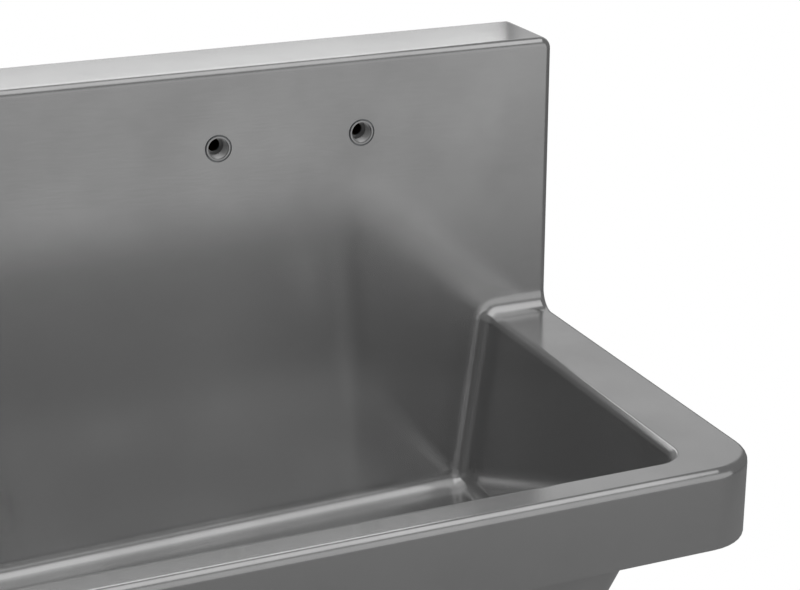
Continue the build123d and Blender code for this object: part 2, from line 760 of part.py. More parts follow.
save("waste_body", at_waste(make_waste_body()))
save("waste_strainer", at_waste(make_strainer()))
save("strainer_screw", at_waste(make_strainer_screw()))
upper_seal = tube(waste_flange_radius - sheet, waste_hole_radius, 0, waste_seal_thickness)
save("waste_upper_seal", at_waste(upper_seal))
inner = waste_tube_radius + thread_clearance
save("waste_lower_seal", at_waste(tube(washer_radius, inner, seal_stack_z, -sheet)))
save("waste_washer", at_waste(tube(washer_radius, inner, seal_stack_z - washer_thickness, seal_stack_z)))
save("waste_backnut", at_waste(make_backnut()))
save("earth_tag", make_earth_tag())
save("earth_bolt", make_earth_bolt())
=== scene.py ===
"""Looks of a wall-hung stainless-steel wash trough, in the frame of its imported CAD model.

The welded skin is folded, rolled and coved here from one block, cut into bowl, rim and
splashback, and given a satin finish. The threaded inlets are turned here as well. Every
other piece keeps its CAD shape and gets its own procedural finish.
"""

import json
import logging
import math
from dataclasses import dataclass, field
from enum import Enum
from functools import partial
from typing import Callable, Iterable

import bpy
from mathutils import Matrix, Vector

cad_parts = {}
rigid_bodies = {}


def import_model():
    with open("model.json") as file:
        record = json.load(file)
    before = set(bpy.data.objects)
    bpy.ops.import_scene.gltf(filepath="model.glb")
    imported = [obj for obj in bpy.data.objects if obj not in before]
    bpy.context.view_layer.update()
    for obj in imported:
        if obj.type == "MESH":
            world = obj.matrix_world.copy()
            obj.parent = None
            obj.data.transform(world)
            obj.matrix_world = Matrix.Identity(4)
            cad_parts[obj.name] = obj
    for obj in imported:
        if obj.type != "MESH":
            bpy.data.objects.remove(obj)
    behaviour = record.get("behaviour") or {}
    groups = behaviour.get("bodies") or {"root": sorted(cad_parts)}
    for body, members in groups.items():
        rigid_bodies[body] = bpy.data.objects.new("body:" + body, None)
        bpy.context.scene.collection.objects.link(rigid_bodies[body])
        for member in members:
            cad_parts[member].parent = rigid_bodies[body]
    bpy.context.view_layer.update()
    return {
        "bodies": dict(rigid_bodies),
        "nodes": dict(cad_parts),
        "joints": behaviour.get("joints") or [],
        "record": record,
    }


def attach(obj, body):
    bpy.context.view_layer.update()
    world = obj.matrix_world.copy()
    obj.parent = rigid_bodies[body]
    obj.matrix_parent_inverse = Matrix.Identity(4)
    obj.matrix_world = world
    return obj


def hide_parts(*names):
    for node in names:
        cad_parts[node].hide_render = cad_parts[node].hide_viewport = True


log = logging.getLogger("wash_trough")

MM = 0.001
# How near to a level, a vertex or the middle of an edge or face counts as on it
NEAR = 0.02 * MM
# How near to each other, vertices are joined
WELD = 0.01 * MM
# Radius, in metres, that stands for the axis of a turned piece
AXIS = 1e-6
# How near to a place, in metres, a vertex is the one that was there
SAME = 1e-7


class Part(Enum):
    """What a pick in edit mode selects, with Blender's select mode for it."""

    VERTEX = (True, False, False)
    EDGE = (False, True, False)
    FACE = (False, False, True)


@dataclass(frozen=True)
class EdgeView:
    """One edge between two faces, as a rounding rule sees it.

    Args:
        start: first end, in metres.
        end: second end, in metres.
        normals: normals of the two faces that meet at the edge.
    """

    start: Vector
    end: Vector
    normals: tuple

    @property
    def middle(self) -> Vector:
        """Middle of the edge."""
        return (self.start + self.end) / 2

    @property
    def turn(self) -> float:
        """Angle in radians that the surface turns at the edge."""
        return self.normals[0].angle(self.normals[1])

    def both(self, axis: int, value: float) -> bool:
        """Tell whether both ends have this coordinate."""
        return abs(self.start[axis] - value) < NEAR and abs(self.end[axis] - value) < NEAR


class MeshWork:
    """Edit-mode work on one mesh object, with picks made by position."""

    def __init__(self, obj: bpy.types.Object) -> None:
        """Take the object to work on."""
        self.obj = obj

    @classmethod
    def cube(cls, name: str, low: Vector, high: Vector) -> "MeshWork":
        """Add a box between two corners and leave its object at the origin.

        Args:
            name: name of the new object.
            low: lowest corner, in metres.
            high: highest corner, in metres.

        Returns:
            The work on the new box.
        """
        bpy.ops.object.select_all(action="DESELECT")
        size = high - low
        bpy.ops.mesh.primitive_cube_add(size=1.0, location=(low + high) / 2, scale=size)
        work = cls(bpy.context.active_object)
        work.obj.name = name
        work.settle()
        return work

    def settle(self) -> None:
        """Apply the object's own transform, so that it sits at the origin."""
        self.focus()
        bpy.ops.object.transform_apply(location=True, rotation=True, scale=True)

    def focus(self) -> None:
        """Make the object the only selected one."""
        bpy.ops.object.select_all(action="DESELECT")
        self.obj.select_set(True)
        bpy.context.view_layer.objects.active = self.obj

    def pick(self, part: Part, test: Callable[[Vector], bool]) -> int:
        """Select the vertices, edges or faces whose middle passes a test.

        Args:
            part: what to select.
            test: gets the middle of the vertex, edge or face.

        Returns:
            How many were selected.
        """
        self.focus()
        bpy.context.tool_settings.mesh_select_mode = part.value
        mesh = self.obj.data
        for group in (mesh.vertices, mesh.edges, mesh.polygons):
            group.foreach_set("select", [False] * len(group))
        if part is Part.VERTEX:
            found = [v for v in mesh.vertices if test(v.co)]
        elif part is Part.EDGE:
            ends = [(e, [mesh.vertices[i].co for i in e.vertices]) for e in mesh.edges]
            found = [e for e, (a, b) in ends if test((a + b) / 2)]
        else:
            found = [p for p in mesh.polygons if test(p.center)]
        for item in found:
            item.select = True
        return len(found)

    def edit(self, *steps: Callable[[], object]) -> None:
        """Run edit-mode operators on what is selected."""
        self.focus()
        bpy.ops.object.mode_set(mode="EDIT")
        for step in steps:
            step()
        bpy.ops.object.mode_set(mode="OBJECT")

    def remove(self, test: Callable[[Vector], bool]) -> None:
        """Delete the faces that pass a test."""
        if self.pick(Part.FACE, test):
            self.edit(partial(bpy.ops.mesh.delete, type="FACE"))

    def move(self, test: Callable[[Vector], bool], shift: tuple) -> None:
        """Move the vertices that pass a test."""
        if self.pick(Part.VERTEX, test):
            self.edit(partial(bpy.ops.transform.translate, value=shift))

    def bisect(self, point: tuple, normal: tuple) -> None:
        """Divide every face along a plane and keep both sides."""
        cut = partial(bpy.ops.mesh.bisect, plane_co=point, plane_no=normal)
        self.edit(partial(bpy.ops.mesh.select_all, action="SELECT"), cut)

    def merge_flat(self, degrees: float = 0.3) -> None:
        """Join neighbouring faces that lie in one plane."""
        select = partial(bpy.ops.mesh.select_all, action="SELECT")
        self.edit(select, partial(bpy.ops.mesh.dissolve_limited, angle_limit=math.radians(degrees)))

    def outward(self) -> None:
        """Turn every normal of a closed mesh outwards."""
        select = partial(bpy.ops.mesh.select_all, action="SELECT")
        self.edit(select, partial(bpy.ops.mesh.normals_make_consistent, inside=False))

    def modify(self, kind: str, **settings: object) -> None:
        """Add a modifier with its settings and apply it.

        Args:
            kind: Blender's type name of the modifier.
            settings: attributes to set on it.
        """
        self.focus()
        modifier = self.obj.modifiers.new(kind.lower(), kind)
        for name, value in settings.items():
            setattr(modifier, name, value)
        bpy.ops.object.modifier_apply(modifier=modifier.name)

    def round(self, radius_of: Callable[[EdgeView], float], segments: int) -> None:
        """Round edges to real radii, with one weighted bevel.

        Args:
            radius_of: gives the radius for an edge, in metres, or 0 to leave it.
            segments: facets across each rounding.
        """
        mesh = self.obj.data
        beside: dict = {}
        for face in mesh.polygons:
            for key in face.edge_keys:
                beside.setdefault(key, []).append(face.normal.copy())
        widths = [0.0] * len(mesh.edges)
        for edge in mesh.edges:
            normals = beside.get(edge.key, [])
            if len(normals) == 2:
                ends = [mesh.vertices[i].co.copy() for i in edge.vertices]
                view = EdgeView(ends[0], ends[1], tuple(normals))
                widths[edge.index] = radius_of(view) * math.tan(view.turn / 2)
        widest = max(widths)
        if widest == 0:
            raise ValueError(f"{self.obj.name}: no edge to round")
        weights = mesh.attributes.get("bevel_weight_edge")
        if weights is None:
            weights = mesh.attributes.new("bevel_weight_edge", "FLOAT", "EDGE")
        weights.data.foreach_set("value", [w / widest for w in widths])
        self.modify(
            "BEVEL",
            limit_method="WEIGHT",
            offset_type="OFFSET",
            width=widest,
            segments=segments,
            profile=0.5,
            use_clamp_overlap=False,
        )
        weights = self.obj.data.attributes.get("bevel_weight_edge")
        if weights is not None:
            self.obj.data.attributes.remove(weights)

    def cut(self, tool: "MeshWork", how: str) -> None:
        """Cut with another mesh, which stays.

        Args:
            tool: closed mesh to cut with.
            how: DIFFERENCE, INTERSECT or UNION.
        """
        self.modify("BOOLEAN", object=tool.obj, operation=how, solver="EXACT")

    def copy(self, name: str) -> "MeshWork":
        """Copy the object with its mesh."""
        twin = self.obj.copy()
        twin.data = self.obj.data.copy()
        twin.name = name
        bpy.context.scene.collection.objects.link(twin)
        return MeshWork(twin)

    def discard(self) -> None:
        """Remove the object and its mesh."""
        mesh = self.obj.data
        bpy.data.objects.remove(self.obj)
        bpy.data.meshes.remove(mesh)

    def smooth(self, degrees: float = 32.0) -> None:
        """Shade smooth up to an angle, with normals that keep the flat faces flat."""
        self.focus()
        bpy.ops.object.shade_smooth_by_angle(angle=math.radians(degrees))
        self.modify("WEIGHTED_NORMAL", keep_sharp=True, weight=100)


def turned(name: str, profile: Iterable[tuple], sides: int) -> MeshWork:
    """Turn a profile about the Z axis, ring by ring, and leave its ends open.

    Joining the vertices afterwards closes a profile that ends where it starts, or that
    starts and ends at the axis.

    Args:
        name: name of the new object.
        profile: (radius, height) of each ring in metres, from one end to the other.
        sides: facets round.

    Returns:
        The work on the new mesh.
    """
    bpy.ops.object.select_all(action="DESELECT")
    rings = list(profile)
    radius, height = rings[0]
    bpy.ops.mesh.primitive_circle_add(vertices=sides, radius=radius, location=(0, 0, height))
    work = MeshWork(bpy.context.active_object)
    work.obj.name = name
    work.settle()
    work.pick(Part.VERTEX, lambda co: True)
    for next_radius, next_height in rings[1:]:
        ratio = next_radius / radius
        work.edit(
            bpy.ops.mesh.extrude_edges_move,
            partial(bpy.ops.transform.resize, value=(ratio, ratio, 1), center_override=(0, 0, 0)),
            partial(bpy.ops.transform.translate, value=(0, 0, next_height - height)),
        )
        radius, height = next_radius, next_height
    return work


@dataclass(frozen=True)
class SkinSizes:
    """Sizes of the welded skin in metres, from the rim's top and the wall, and its slopes."""

    length: float = 1200 * MM
    reach: float = 435 * MM
    splash_thickness: float = 88 * MM
    splash_height: float = 292 * MM
    apron: float = 78 * MM
    sheet: float = 1.5 * MM
    front_rim: float = 39.5 * MM
    side_rim: float = 70 * MM
    depth: float = 190 * MM
    floor_fall: float = 0.025
    end_draft: float = 0.137
    front_slope: float = 0.49
    front_lip: float = 30 * MM
    corner: float = 20 * MM
    bend: float = 40 * MM
    roll: float = 9 * MM
    cove: float = 18 * MM
    outer_roll: float = 8.5 * MM
    plan_corner: float = 53 * MM
    splash_corner: float = 12 * MM
    fold: float = 2 * MM
    weld_height: float = 22 * MM
    apron_return: float = 16 * MM
    rear_return: float = 20 * MM
    recess: float = 44 * MM
    recess_depth: float = 4.5 * MM
    recess_fillet: float = 2.5 * MM
    recess_clearance: float = 4 * MM
    waste_hole: float = 25 * MM
    station: float = 312.5 * MM
    inlet_spacing: float = 150 * MM
    inlet_height: float = 214 * MM
    # Wider than the socket's collar, for the dark line that the photograph shows round it
    inlet_hole: float = 13.8 * MM
    rim_level: float = -218 * MM

    @property
    def half(self) -> float:
        """Half of the overall length."""
        return self.length / 2

    @property
    def front_y(self) -> float:
        """Front face of the apron."""
        return -(self.splash_thickness + self.reach)

    @property
    def splash_y(self) -> float:
        """Front face of the splashback."""
        return -self.splash_thickness

    @property
    def lip_y(self) -> float:
        """Upright lip at the front of the opening."""
        return self.front_y + self.front_rim

    @property
    def opening_x(self) -> float:
        """End of the opening at the rim."""
        return self.half - self.side_rim

    @property
    def floor_x(self) -> float:
        """Foot of the end wall."""
        return self.opening_x - self.end_draft * self.depth

    @property
    def floor_mid(self) -> float:
        """Height of the floor halfway along."""
        return -(self.depth + self.floor_fall * self.floor_x)

    @property
    def floor_front(self) -> float:
        """Foot of the raked front wall, halfway along."""
        return self.lip_y + self.front_slope * (-self.floor_mid - self.front_lip)

    @property
    def waste_y(self) -> float:
        """Middle of the outlet."""
        return (self.splash_y + self.floor_front) / 2

    @property
    def inlets(self) -> dict:
        """Places of the inlets along the trough, by CAD node."""
        sides = {"left": -self.station, "right": self.station}
        waters = {"hot": -self.inlet_spacing / 2, "cold": self.inlet_spacing / 2}
        return {f"inlet_socket_{w}_{s}": sides[s] + waters[w] for s in sides for w in waters}


@dataclass
class WeldedSkin:
    """Bowl, rim and splashback, folded from one block and then cut apart at the welds."""

    sizes: SkinSizes = field(default_factory=SkinSizes)
    facets: int = 10
    sides: int = 96
    hole_sides: int = 64
    tool_reach: float = 9 * MM
    # How far in radians the surface turns, at least, where a roll, a cove or a fold is meant
    roll_turn: float = 0.8
    cove_turn: float = 0.6
    fold_turn: float = 1.2

    def half_block(self) -> MeshWork:
        """Block out the air side of the right half with sharp edges.

        Returns:
            The work on the half surface, open at the middle.
        """
        s = self.sizes
        work = MeshWork.cube("skin", Vector((0, s.front_y, -s.apron)), Vector((s.half, 0, 0)))
        work.bisect((0, s.splash_y, 0), (0, 1, 0))
        work.bisect((0, s.lip_y, 0), (0, 1, 0))
        work.bisect((s.opening_x, 0, 0), (1, 0, 0))
        lift = partial(
            bpy.ops.mesh.extrude_region_move, TRANSFORM_OT_translate={"value": (0, 0, s.splash_height)}
        )
        work.pick(Part.FACE, lambda co: abs(co.z) < NEAR and co.y > s.splash_y)
        work.edit(lift)
        middle_y = (s.splash_y + s.lip_y) / 2
        work.pick(
            Part.FACE,
            lambda co: abs(co.z) < NEAR and co.x < s.opening_x and abs(co.y - middle_y) < MM,
        )
        for drop in (s.front_lip, s.depth - s.front_lip):
            work.edit(
                partial(
                    bpy.ops.mesh.extrude_region_move,
                    TRANSFORM_OT_translate={"value": (0, 0, -drop)},
                )
            )
        self.lean_walls(work)
        work.remove(lambda co: abs(co.x) < NEAR)
        work.merge_flat(0.1)
        return work

    def lean_walls(self, work: MeshWork) -> None:
        """Give the sunk bowl its end draft, raked front and falling floor."""
        s = self.sizes

        def at(x: float, z: float) -> Callable[[Vector], bool]:
            """Give the test for the bowl's vertices at this place along it and this height."""
            return lambda co: abs(co.x - x) < NEAR and abs(co.z - z) < NEAR and co.y < s.splash_y + NEAR

        rake = s.front_slope
        floor_end = s.lip_y + rake * (s.depth - s.front_lip)
        work.move(
            lambda co: abs(co.z + s.depth) < NEAR and abs(co.y - s.lip_y) < NEAR,
            (0, floor_end - s.lip_y, 0),
        )
        work.move(at(s.opening_x, -s.front_lip), (-s.end_draft * s.front_lip, 0, 0))
        work.move(at(s.opening_x, -s.depth), (-s.end_draft * s.depth, 0, 0))
        fall = s.floor_mid + s.depth

        def mid_foot(co: Vector) -> bool:
            """Tell whether a vertex is at the foot of the bowl, halfway along."""
            return abs(co.x) < NEAR and abs(co.z + s.depth) < NEAR

        work.move(lambda co: mid_foot(co) and co.y > s.splash_y - MM, (0, 0, fall))
        work.move(lambda co: mid_foot(co) and co.y < s.splash_y - MM, (0, -rake * fall, fall))

    def bend_rule(self, edge: EdgeView) -> float:
        """Radius of the bend between the front lip and the raked wall."""
        s = self.sizes
        return s.bend if edge.both(2, -s.front_lip) and edge.both(1, s.lip_y) else 0.0

    def corner_rule(self, edge: EdgeView) -> float:
        """Radii of the plan corner, the splashback's corner and the bowl's front corner."""
        s = self.sizes
        if edge.both(0, s.half) and edge.both(1, s.front_y):
            return s.plan_corner
        if edge.both(0, s.half) and edge.both(2, s.splash_height):
            return s.splash_corner
        end = [n for n in edge.normals if n.x < -0.95]
        front = [n for n in edge.normals if n.y > 0.5 and abs(n.x) < 0.1]
        return s.corner if end and front else 0.0

    def roll_rule(self, edge: EdgeView) -> float:
        """Radius of the rim's roll into the bowl."""
        s = self.sizes
        inside = edge.middle.y < s.splash_y - NEAR and all(n.x < 0.1 and n.y > -0.1 for n in edge.normals)
        return s.roll if edge.both(2, 0) and inside and edge.turn > self.roll_turn else 0.0

    def cove_rule(self, edge: EdgeView) -> float:
        """Radius of the coves against the splashback and round the bowl's floor."""
        s = self.sizes
        on_back = edge.both(1, s.splash_y) and edge.middle.z < NEAR and edge.middle.x < s.half - NEAR
        on_floor = edge.middle.z < -s.depth * 0.9 and any(n.z > 0.99 for n in edge.normals)
        return s.cove if (on_back or on_floor) and edge.turn > self.cove_turn else 0.0

    def outer_rule(self, edge: EdgeView) -> float:
        """Radius of the outer roll, from the front rim up to the splashback's top."""
        s = self.sizes
        above = edge.start.z > -NEAR and edge.end.z > -NEAR
        square = edge.turn > self.fold_turn
        return s.outer_roll if above and square and not edge.both(1, 0) else 0.0

    def fold_rule(self, edge: EdgeView) -> float:
        """Radius of the fold at the apron's lower edge."""
        s = self.sizes
        square = edge.turn > self.fold_turn
        return s.fold if edge.both(2, -s.apron) and square and not edge.both(1, 0) else 0.0

    def add_returns(self, work: MeshWork) -> None:
        """Fold the apron's lower edge and the splashback's rear edges inwards."""
        s = self.sizes
        for axis, level, width, other in ((2, -s.apron, s.apron_return, 1), (1, 0.0, s.rear_return, 2)):
            work.pick(Part.FACE, lambda co: abs(co[axis] - level) < NEAR)
            inset = partial(bpy.ops.mesh.inset, thickness=width)
            work.edit(inset, partial(bpy.ops.mesh.delete, type="FACE"))
            end = 0.0 if axis == 2 else -s.apron

            def strip(co: Vector) -> bool:
                """Tell whether a face is in the strip where the lower and rear openings meet."""
                return abs(co[axis] - level) < NEAR and abs(co[other] - end) < width * 0.6

            work.remove(lambda co: strip(co) and abs(co.x) < s.half * 0.5)

    def build_whole(self) -> MeshWork:
        """Round, mirror, fold and thicken the skin.

        Returns:
            The work on one closed thin solid at rim level.
        """
        s = self.sizes
        work = self.half_block()
        work.round(self.bend_rule, 6)
        work.round(self.corner_rule, self.facets)
        work.round(self.roll_rule, self.facets)
        work.round(self.cove_rule, self.facets)
        work.round(self.outer_rule, self.facets)
        work.modify("MIRROR", use_axis=(True, False, False), merge_threshold=NEAR)
        work.merge_flat(0.1)
        self.add_returns(work)
        work.round(self.fold_rule, 4)
        work.modify(
            "SOLIDIFY", thickness=s.sheet, offset=-1.0, use_even_offset=True, use_quality_normals=True
        )
        work.outward()
        return work

    def mouth_tool(self) -> MeshWork:
        """Prism round the mouth of the bowl, which the seam follows."""
        s = self.sizes
        x, y = s.opening_x + s.roll, s.lip_y - s.roll
        low = Vector((-x, y, -s.length))
        tool = MeshWork.cube("mouth_tool", low, Vector((x, s.splash_y + 2 * s.sheet, s.weld_height)))

        def radius_of(edge: EdgeView) -> float:
            """Radius of the prism's two upright front corners."""
            return s.corner + s.roll if edge.both(1, y) and edge.both(0, edge.start.x) else 0.0

        tool.round(radius_of, self.facets)
        return tool

    def build(self) -> dict:
        """Build the three welded pieces.

        Returns:
            Bowl, rim and splashback as mesh works, by CAD node.
        """
        s = self.sizes
        whole = self.build_whole()
        mouth = self.mouth_tool()
        far = s.length
        above = MeshWork.cube("above_tool", Vector((-far, -far, s.weld_height)), Vector((far, far, far)))
        bowl, rim, splash = (whole.copy(n) for n in ("bowl_skin", "rim_skin", "splash_skin"))
        bowl.cut(mouth, "INTERSECT")
        rim.cut(mouth, "DIFFERENCE")
        rim.cut(above, "DIFFERENCE")
        splash.cut(above, "INTERSECT")
        for spare in (whole, mouth, above):
            spare.discard()
        self.drill_inlets(splash)
        self.press_recess(bowl)
        pieces = {"bowl": bowl, "rim_deck": rim, "splashback_skin": splash}
        for work in pieces.values():
            work.move(lambda co: True, (0, 0, s.rim_level))
            work.smooth()
        return pieces

    def drill_inlets(self, splash: MeshWork) -> None:
        """Cut the socket holes through the splashback's face."""
        s = self.sizes
        for x in s.inlets.values():
            bpy.ops.object.select_all(action="DESELECT")
            bpy.ops.mesh.primitive_cylinder_add(
                vertices=self.hole_sides,
                radius=s.inlet_hole,
                depth=s.splash_thickness / 2,
                location=(x, s.splash_y, s.inlet_height),
                rotation=(math.pi / 2, 0, 0),
            )
            drill = MeshWork(bpy.context.active_object)
            drill.settle()
            splash.cut(drill, "DIFFERENCE")
            drill.discard()

    def press_recess(self, bowl: MeshWork) -> None:
        """Press the round recess for the waste into the floor and cut its hole."""
        s = self.sizes
        low = s.floor_mid - s.recess_depth
        steps = 4
        arc = [math.pi / 2 * (steps - step) / steps for step in range(steps + 1)]
        fillet = s.recess_fillet
        foot, brim = low - self.tool_reach, low + self.tool_reach

        def dish(radius: float, floor: float, bend: float, top: float) -> list:
            """Give the profile of a round dish with a rounded foot, from axis to axis."""
            rings = [(radius - bend * (1 - math.cos(a)), floor + bend * (1 - math.sin(a))) for a in arc]
            return [(AXIS, floor)] + rings + [(radius, top)] + [(AXIS, top)]

        outside = dish(s.recess + s.sheet, low - s.sheet, fillet + s.sheet, s.floor_mid - s.sheet / 3)
        cup = turned("cup_tool", outside, self.sides)
        inside = dish(s.recess, low, fillet, s.floor_mid + s.recess_clearance)
        space = turned("space_tool", inside, self.sides)
        bore = [(AXIS, foot), (s.waste_hole, foot), (s.waste_hole, brim), (AXIS, brim)]
        hole = turned("hole_tool", bore, self.hole_sides)
        for tool in (cup, space, hole):
            tool.pick(Part.VERTEX, lambda co: True)
            tool.edit(partial(bpy.ops.mesh.remove_doubles, threshold=WELD))
            tool.outward()
            tool.move(lambda co: True, (0, s.waste_y, 0))
        bowl.cut(cup, "UNION")
        bowl.cut(space, "DIFFERENCE")
        bowl.cut(hole, "DIFFERENCE")
        for tool in (cup, space, hole):
            tool.discard()


@dataclass(frozen=True)
class InletSizes:
    """Sizes of one threaded inlet socket, in metres."""

    face: float = -88.5 * MM
    splash: float = -88 * MM
    plate_back: float = -83.5 * MM
    shoulder_end: float = -79.5 * MM
    back: float = -61.5 * MM
    web_start: float = -72 * MM
    web_end: float = -69 * MM
    collar: float = 12.4 * MM
    chamfer: float = 0.5 * MM
    shoulder: float = 17 * MM
    body: float = 14 * MM
    bore: float = 9.3 * MM
    root: float = 10.4 * MM
    waterway: float = 6.5 * MM
    pitch: float = 1.814 * MM
    thread_seat: float = 0.12 * MM
    height: float = -4 * MM


@dataclass
class InletSocket:
    """Turned socket with a real helical thread in its mouth."""

    node: str
    x: float
    sizes: InletSizes = field(default_factory=InletSizes)
    sides: int = 72

    def build(self) -> MeshWork:
        """Turn the body, wind the thread and stand them in the splashback.

        Returns:
            The work on the whole socket.
        """
        s = self.sizes
        turns = int((s.web_start - s.splash - s.pitch) / s.pitch)
        edge = s.chamfer * 0.6
        outline = [
            (s.root, s.face + s.chamfer * 2),
            (s.root + edge, s.face),
            (s.collar - edge, s.face),
            (s.collar, s.face + s.chamfer),
            (s.collar, s.plate_back),
            (s.shoulder, s.plate_back),
            (s.shoulder, s.shoulder_end),
            (s.body, s.shoulder_end),
            (s.body, s.back),
            (s.bore, s.back),
            (s.bore, s.web_end),
            (s.waterway, s.web_end),
            (s.waterway, s.web_start),
            (s.root, s.web_start),
            (s.root, s.face + s.chamfer * 2),
        ]
        work = turned(self.node.replace("inlet_socket", "threaded_inlet"), outline, self.sides)
        work.pick(Part.VERTEX, lambda co: True)
        work.edit(partial(bpy.ops.mesh.remove_doubles, threshold=WELD))
        work.outward()
        thread = self.wind_thread(turns)
        bpy.ops.object.select_all(action="DESELECT")
        thread.obj.select_set(True)
        work.obj.select_set(True)
        bpy.context.view_layer.objects.active = work.obj
        bpy.ops.object.join()
        work.pick(Part.VERTEX, lambda co: True)
        turn = partial(bpy.ops.transform.rotate, orient_axis="X", center_override=(0, 0, 0))
        work.edit(partial(turn, value=math.pi / 2))
        if work.obj.data.vertices[0].co.y > 0:
            work.edit(partial(turn, value=math.pi))
        work.move(lambda co: True, (self.x, 0, s.height))
        work.smooth()
        return work

    def wind_thread(self, turns: int) -> MeshWork:
        """Wind a triangular ridge along the bore.

        Args:
            turns: whole turns of the thread.

        Returns:
            The work on the closed ridge.
        """
        s = self.sizes
        bpy.ops.object.select_all(action="DESELECT")
        bpy.ops.mesh.primitive_circle_add(vertices=3, radius=s.pitch * 0.5, location=(0, 0, 0))
        work = MeshWork(bpy.context.active_object)
        work.obj.name = "thread"
        work.settle()
        start = s.splash + s.pitch * 0.8
        # Just under half a pitch to each side, so that the turns don't touch
        rise = s.pitch * 0.44
        deep = s.root + s.thread_seat
        ridge = ((deep, start - rise), (s.bore, start), (deep, start + rise))
        corners = [Vector((radius, 0, height)) for radius, height in ridge]
        for index, corner in enumerate(corners):
            place = work.obj.data.vertices[index].co.copy()
            work.move(lambda co: (co - place).length < SAME, tuple(corner - place))
        work.modify(
            "SCREW",
            angle=math.tau,
            screw_offset=s.pitch,
            iterations=turns,
            steps=self.sides // 2,
            render_steps=self.sides // 2,
            axis="Z",
            use_merge_vertices=False,
        )
        work.edit(
            partial(bpy.ops.mesh.select_all, action="DESELECT"),
            partial(bpy.ops.mesh.select_mode, type="EDGE"),
            bpy.ops.mesh.select_non_manifold,
            partial(bpy.ops.mesh.fill, use_beauty=False),
        )
        work.outward()
        return work


def linear(code: str) -> tuple:
    """Give an sRGB hex colour as linear RGBA.

    Args:
        code: six hex digits.

    Returns:
        Red, green, blue and alpha, linear.
    """
    shares = [int(code[i : i + 2], 16) / 255 for i in (0, 2, 4)]
    return tuple(c / 12.92 if c <= 0.04045 else ((c + 0.055) / 1.055) ** 2.4 for c in shares) + (1.0,)


def add_node(
    tree: bpy.types.NodeTree, kind: str, links: dict | None = None, **settings: object
) -> bpy.types.Node:
    """Add a node to a shader or geometry tree, set its values and link its inputs.

    Args:
        tree: tree to add to.
        kind: Blender's type name of the node.
        links: input socket to the output socket that feeds it.
        settings: attributes, or numbers and colours for input sockets.

    Returns:
        The new node.
    """
    node = tree.nodes.new(kind)
    for name, value in settings.items():
        if hasattr(node, name):
            setattr(node, name, value)
        else:
            node.inputs[name.replace("_", " ")].default_value = value
    for name, output in (links or {}).items():
        tree.links.new(output, node.inputs[name])
    return node


@dataclass(frozen=True)
class Finish:
    """A surface finish: colour, gloss, and grain and mottle at real scales.

    Args:
        name: the real finish, and the material's name.
        colour: sRGB hex of the plain surface.
        rough: mean roughness.
        rough_swing: how far the roughness moves with the mottle.
        metallic: 1 for bare metal, 0 for the rest.
        grain_mm: size of the fine grain across its lay, in millimetres.
        grain_stretch: how much longer the grain is than wide, along X, Y and Z.
        grain_bump: strength of the grain's relief.
        mottle_mm: size of the slow variation, in millimetres.
        shade: sRGB hex that the slow variation moves towards.
        shade_share: how much of it is mixed in at most.
        lay: how much wider a polished lay along X blurs reflections across it than along it.
    """

    name: str
    colour: str
    rough: float
    rough_swing: float
    metallic: float
    grain_mm: float
    grain_stretch: tuple
    grain_bump: float
    mottle_mm: float
    shade: str
    shade_share: float
    lay: float = 0.0

    def material(self) -> bpy.types.Material:
        """Build the node material, or give the one that is there already.

        Returns:
            The material, named after the finish.
        """
        found = bpy.data.materials.get(self.name)
        if found is not None:
            return found
        made = bpy.data.materials.new(self.name)
        made.use_nodes = True
        tree = made.node_tree
        tree.nodes.clear()
        place = add_node(tree, "ShaderNodeTexCoord").outputs["Object"]
        across = 1000 / self.grain_mm
        scale = tuple(across / max(1.0, stretch) for stretch in self.grain_stretch)
        lay = add_node(tree, "ShaderNodeMapping", {"Vector": place}, Scale=scale)
        grain = add_node(
            tree,
            "ShaderNodeTexNoise",
            {"Vector": lay.outputs["Vector"]},
            Scale=1.0,
            Detail=2.0,
            Roughness=0.5,
        )
        slow = add_node(
            tree,
            "ShaderNodeTexNoise",
            {"Vector": place},
            Scale=1000 / self.mottle_mm,
            Detail=3.0,
            Roughness=0.55,
        )
        mix = add_node(tree, "ShaderNodeMix", data_type="RGBA", clamp_factor=True)
        share = add_node(
            tree,
            "ShaderNodeMapRange",
            {"Value": slow.outputs["Fac"]},
            From_Min=0.3,
            From_Max=0.75,
            To_Max=self.shade_share,
        )
        tree.links.new(share.outputs["Result"], mix.inputs["Factor"])
        colour_a, colour_b = [i for i in mix.inputs if i.type == "RGBA"]
        colour_a.default_value = linear(self.colour)
        colour_b.default_value = linear(self.shade)
        both = add_node(
            tree, "ShaderNodeMath", {0: grain.outputs["Fac"], 1: slow.outputs["Fac"]}, operation="ADD"
        )
        gloss = add_node(
            tree,
            "ShaderNodeMapRange",
            {"Value": both.outputs[0]},
            From_Min=0.6,
            From_Max=1.4,
            To_Min=self.rough - self.rough_swing,
            To_Max=self.rough + self.rough_swing,
        )
        relief = add_node(
            tree,
            "ShaderNodeBump",
            {"Height": grain.outputs["Fac"]},
            Strength=self.grain_bump,
            Distance=self.grain_mm * MM * 0.2,
        )
        surface = add_node(
            tree,
            "ShaderNodeBsdfPrincipled",
            {
                "Base Color": [o for o in mix.outputs if o.type == "RGBA"][0],
                "Roughness": gloss.outputs["Result"],
                "Normal": relief.outputs["Normal"],
            },
            Metallic=self.metallic,
            Anisotropic=self.lay,
            Anisotropic_Rotation=0.25,
        )
        if self.lay:
            # The slight tilt keeps the lay defined on the end faces, which look along X
            along = add_node(tree, "ShaderNodeCombineXYZ", X=1.0, Y=0.02)
            tree.links.new(along.outputs["Vector"], surface.inputs["Tangent"])
        add_node(tree, "ShaderNodeOutputMaterial", {"Surface": surface.outputs["BSDF"]})
        return made


